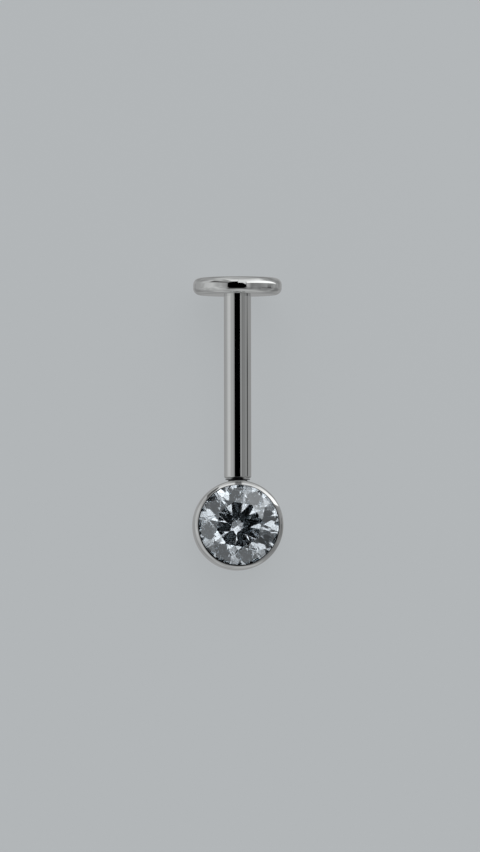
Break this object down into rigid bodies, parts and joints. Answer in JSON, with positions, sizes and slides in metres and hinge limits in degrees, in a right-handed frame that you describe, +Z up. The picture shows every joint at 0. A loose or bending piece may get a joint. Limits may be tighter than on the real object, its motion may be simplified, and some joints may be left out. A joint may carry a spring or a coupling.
{
  "type": "labret stud",
  "caption": "Labret stud lying on its side: flat round disc, straight post and a push-in head, a closed bezel cup that holds a clear round brilliant facing sideways.",
  "frame": {"origin": "middle of the stud's box, at floor level, with the stud lying on its side", "axes": "+Y along the post towards the disc, which stands 4 degrees higher than the head; +Z up, the way the stone faces; +X to the right of both"},
  "size_m": [0.004, 0.013, 0.0039],
  "materials": {
    "post_metal": "mirror polish",
    "setting_metal": "mirror polish",
    "stone": "clear cubic zirconia, polished facets"
  },
  "bodies": {
    "head": {"bezel_setting": "setting_metal", "stone": "stone"},
    "post": {"flat_back_post": "post_metal"}
  },
  "joints": [
    {"name": "post_pull", "type": "slide", "parent": "head", "child": "post", "axis": [0, 0.9976, 0.0698], "range_m": [0, 0.013]}
  ]
}
